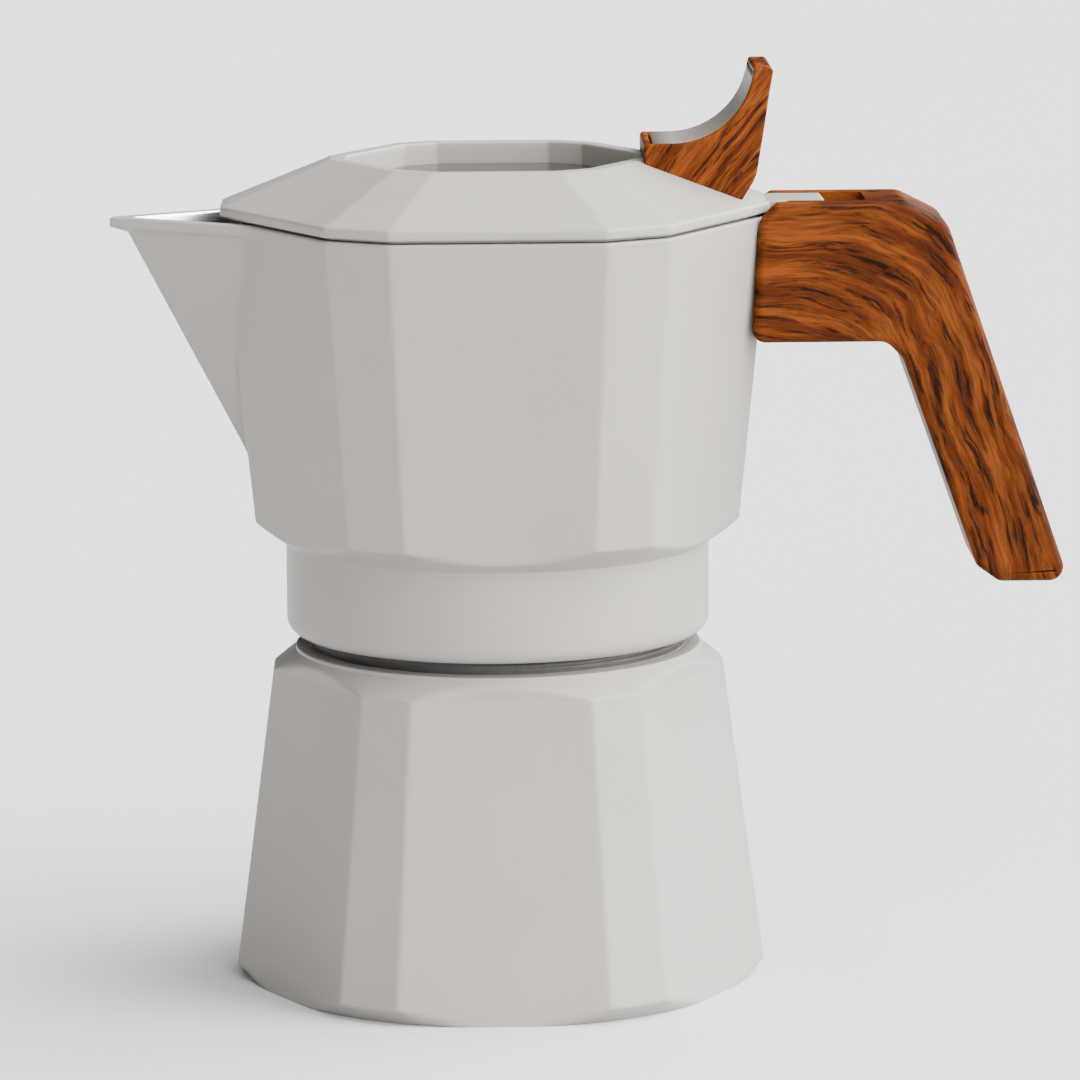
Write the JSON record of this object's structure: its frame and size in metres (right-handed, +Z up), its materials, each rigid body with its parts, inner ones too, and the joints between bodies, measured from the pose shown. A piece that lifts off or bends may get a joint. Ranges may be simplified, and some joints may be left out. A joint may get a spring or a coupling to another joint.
{
  "type": "moka pot",
  "caption": "Faceted stovetop moka pot: boiler with safety valve, coffee funnel, screw-on collector with spout, hinged lid with window, wood-grained knob and handle.",
  "frame": {"origin": "centre of the boiler's base on the table", "axes": "+Z up along the pot's axis, +X towards the handle and the lid hinge, spout towards -X, safety valve towards +Y"},
  "size_m": [0.1677, 0.0957, 0.1626],
  "materials": {
    "painted_body": "satin warm grey paint on cast aluminium",
    "bare_aluminium": "satin",
    "brass": "turned",
    "steel": "polished",
    "black_rubber": "matte",
    "white_rubber": "matte silicone",
    "wood_grain": "semi-gloss with dark streaks",
    "satin_inlay": "satin",
    "smoked_window": "clear, smoked"
  },
  "bodies": {
    "base_unit": {"boiler": "painted_body", "valve_body": "brass", "valve_washer": "black_rubber", "valve_cap": "brass", "valve_spring": "steel", "funnel": "bare_aluminium", "funnel_screen": "bare_aluminium"},
    "valve_plunger": {"valve_pin": "steel"},
    "seal": {"gasket": "white_rubber", "filter_plate": "bare_aluminium"},
    "top_unit": {"collector": "painted_body", "brew_column": "bare_aluminium", "hinge_pin": "steel", "handle": "wood_grain", "handle_screw": "steel", "handle_washer": "steel"},
    "lid_unit": {"lid": "painted_body", "lid_window": "smoked_window", "window_gasket": "black_rubber", "knob": "wood_grain", "knob_inlay": "satin_inlay", "knob_screw": "steel"}
  },
  "joints": [
    {"name": "valve_lift", "type": "slide", "parent": "base_unit", "child": "valve_plunger", "axis": [0, 1, 0], "range_m": [0, 0.002], "stiffness_N_per_m": 300, "deforming": ["valve_spring"]},
    {"name": "collector_lift", "type": "slide", "parent": "base_unit", "child": "seal", "axis": [0, 0, 1], "range_m": [0, 0.00701]},
    {"name": "collector_turn", "type": "hinge", "parent": "seal", "child": "top_unit", "pos_m": [0, 0, 0.07281], "axis": [0, 0, 1], "range_deg": [0, 720]},
    {"name": "lid_hinge", "type": "hinge", "parent": "top_unit", "child": "lid_unit", "pos_m": [0.0535, 0, 0.13401], "axis": [0, 1, 0], "range_deg": [0, 92]}
  ],
  "couplings": [
    {"joint": "collector_lift", "follows": "collector_turn", "m_per_rad": 0.00055704}
  ]
}
